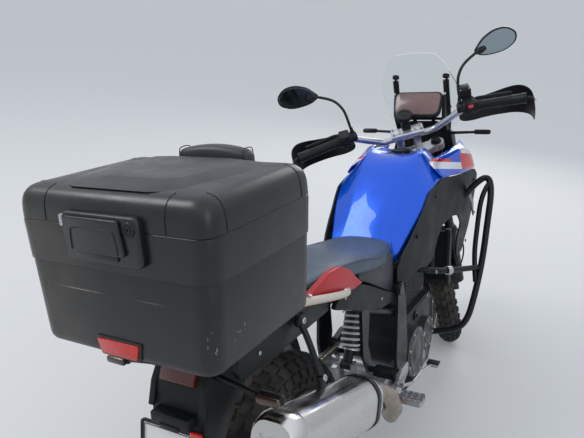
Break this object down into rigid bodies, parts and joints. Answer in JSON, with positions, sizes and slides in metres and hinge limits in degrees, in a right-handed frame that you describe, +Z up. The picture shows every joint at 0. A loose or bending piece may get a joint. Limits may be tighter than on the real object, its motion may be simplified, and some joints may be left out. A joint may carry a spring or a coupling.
{
  "type": "adventure motorcycle",
  "caption": "Adventure motorcycle leaning on its side stand with bars turned left: spoked cast wheels, open engine, steering, crash bars, clear screen and a hinged top case.",
  "frame": {"origin": "on the ground under the middle of the whole box", "axes": "+X towards the front of the machine, +Y towards its left side, +Z up; the machine leans 10 degrees to the left"},
  "size_m": [2.3591, 0.932, 1.5148],
  "materials": {
    "tyre": "tread",
    "rim_black": "satin",
    "disc_steel": "brushed",
    "frame_black": "satin",
    "engine_dark": "cast",
    "cover_grey": "cast",
    "chain_steel": "oiled",
    "swing_silver": "satin",
    "axle_steel": "machined",
    "shock": "satin",
    "caliper": "satin",
    "rack_black": "matte",
    "handle_pale": "satin",
    "seat_vinyl": "grained",
    "seat_red": "smooth",
    "black_plastic": "grained",
    "plate_white": "gloss",
    "case_plastic": "grained",
    "pad_leather": "grained",
    "lamp_red": "clear",
    "header_steel": "heat tinted",
    "silencer_steel": "brushed",
    "blue_paint": "metallic gloss",
    "cap_black": "satin",
    "radiator_black": "matte",
    "lamp_clear": "clear",
    "screen_clear": "clear",
    "display_glass": "gloss",
    "lamp_amber": "clear",
    "skid_silver": "brushed",
    "yoke_silver": "satin",
    "fork_tube": "satin",
    "bar_silver": "satin",
    "control_black": "ribbed",
    "mirror_black": "satin",
    "stand_black": "satin"
  },
  "bodies": {
    "chassis": {"beak": "blue_paint", "case_base": "case_plastic", "chain": "chain_steel", "crankcase": "engine_dark", "crash_bars": "frame_black", "cylinders": "engine_dark", "display": "display_glass", "engine_covers": "cover_grey", "exhaust_headers": "header_steel", "foot_controls": "axle_steel", "front_indicators": "lamp_amber", "grab_handles": "handle_pale", "headlight": "lamp_clear", "luggage_rack": "rack_black", "main_frame": "frame_black", "nose_fairing": "black_plastic", "number_plate": "plate_white", "pillion_pegs": "frame_black", "plate_carrier": "black_plastic", "radiator": "radiator_black", "rear_axle": "axle_steel", "rear_caliper": "caliper", "rear_frame": "frame_black", "rear_lamps": "lamp_red", "rear_shock": "shock", "screen_brackets": "black_plastic", "seat": "seat_vinyl", "seat_trim": "seat_red", "shrouds": "black_plastic", "side_covers": "black_plastic", "silencer": "silencer_steel", "skid_plate": "skid_silver", "swingarm": "swing_silver", "tank": "blue_paint", "tank_wings": "blue_paint", "windscreen": "screen_clear"},
    "front_wheel": {"front_tyre": "tyre", "front_rim": "rim_black", "front_discs": "disc_steel"},
    "rear_wheel": {"rear_tyre": "tyre", "rear_rim": "rim_black", "rear_disc": "disc_steel", "rear_sprocket": "disc_steel"},
    "steering": {"yokes": "yoke_silver", "fork_legs": "fork_tube", "handlebar": "bar_silver", "controls": "control_black", "hand_guards": "black_plastic", "mirrors": "mirror_black", "phone_mount": "black_plastic", "front_mudguard": "black_plastic", "front_calipers": "caliper"},
    "side_stand": {"side_stand": "stand_black"},
    "lid": {"case_lid": "case_plastic", "backrest": "pad_leather"},
    "fuel_cap": {"filler_cap": "cap_black"}
  },
  "joints": [
    {"name": "steering_turn", "type": "hinge", "parent": "chassis", "child": "steering", "pos_m": [0.53529, -0.0595, 0.87301], "axis": [-0.4498, 0.1551, 0.8796], "range_deg": [-56, 0]},
    {"name": "front_wheel_spin", "type": "hinge", "parent": "steering", "child": "front_wheel", "pos_m": [0.8758, -0.13208, 0.31049], "axis": [-0.4193, 0.8329, -0.3613], "continuous": true},
    {"name": "rear_wheel_spin", "type": "hinge", "parent": "chassis", "child": "rear_wheel", "pos_m": [-0.67439, -0.15749, 0.31726], "axis": [0, 0.9848, -0.1736], "continuous": true},
    {"name": "side_stand_fold", "type": "hinge", "parent": "chassis", "child": "side_stand", "pos_m": [-0.12979, -0.00743, 0.20087], "axis": [0.1922, 0.8272, 0.528], "range_deg": [0, 109]},
    {"name": "lid_hinge", "type": "hinge", "parent": "chassis", "child": "lid", "pos_m": [-0.80447, -0.01291, 1.13723], "axis": [0, 0.9848, -0.1736], "range_deg": [0, 75]},
    {"name": "fuel_cap_hinge", "type": "hinge", "parent": "chassis", "child": "fuel_cap", "pos_m": [0.37998, -0.0335, 1.02046], "axis": [0, 0.9848, -0.1736], "range_deg": [0, 80]}
  ]
}
